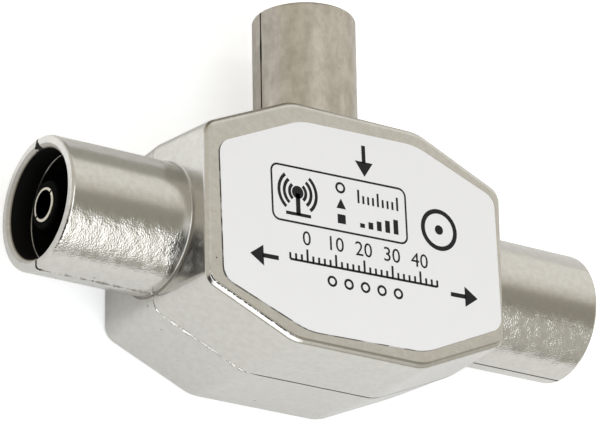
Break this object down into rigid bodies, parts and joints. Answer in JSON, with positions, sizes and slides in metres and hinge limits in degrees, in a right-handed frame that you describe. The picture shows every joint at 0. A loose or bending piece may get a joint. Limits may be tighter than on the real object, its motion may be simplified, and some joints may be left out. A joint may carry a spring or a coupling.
{
  "type": "coaxial splitter",
  "caption": "Metal splitter for aerial leads: an eight-sided cast box with a socket at each side, a plug on the third side and a label on the front.",
  "frame": {"origin": "on the flat back face, under the point where the axes of the three ports cross", "axes": "+X along the right socket's axis, +Y along the plug's axis, +Z out of the back towards the labelled front"},
  "size_m": [0.0558, 0.0349, 0.0172],
  "materials": {
    "nickel_plated_casting": "satin nickel plate on a zinc die casting",
    "printed_label": "white printed film",
    "black_insulator": "moulded black plastic",
    "plated_contact": "nickel-plated brass",
    "board_laminate": "paper-phenolic laminate",
    "solder": "bright solder",
    "ferrite": "sintered ferrite",
    "enamelled_wire": "enamelled copper",
    "resistor_coat": "lacquered film resistor",
    "chip_ceramic": "fired ceramic with tinned ends",
    "spring_bronze": "bare spring bronze"
  },
  "bodies": {
    "root": {"front_shell": "nickel_plated_casting", "rear_shell": "nickel_plated_casting", "label": "printed_label", "out_right_insulator": "black_insulator", "out_left_insulator": "black_insulator", "in_insulator": "black_insulator", "out_right_contact": "plated_contact", "out_left_contact": "plated_contact", "in_pin": "plated_contact", "circuit_board": "board_laminate", "out_right_solder": "solder", "out_left_solder": "solder", "in_solder": "solder", "splitter_core": "ferrite", "matching_core": "ferrite", "splitter_winding": "enamelled_wire", "matching_winding": "enamelled_wire", "isolation_resistor": "resistor_coat", "input_capacitor": "chip_ceramic", "out_left_capacitor": "chip_ceramic", "out_right_capacitor": "chip_ceramic", "earth_clip_left": "spring_bronze", "earth_clip_right": "spring_bronze"}
  },
  "joints": []
}
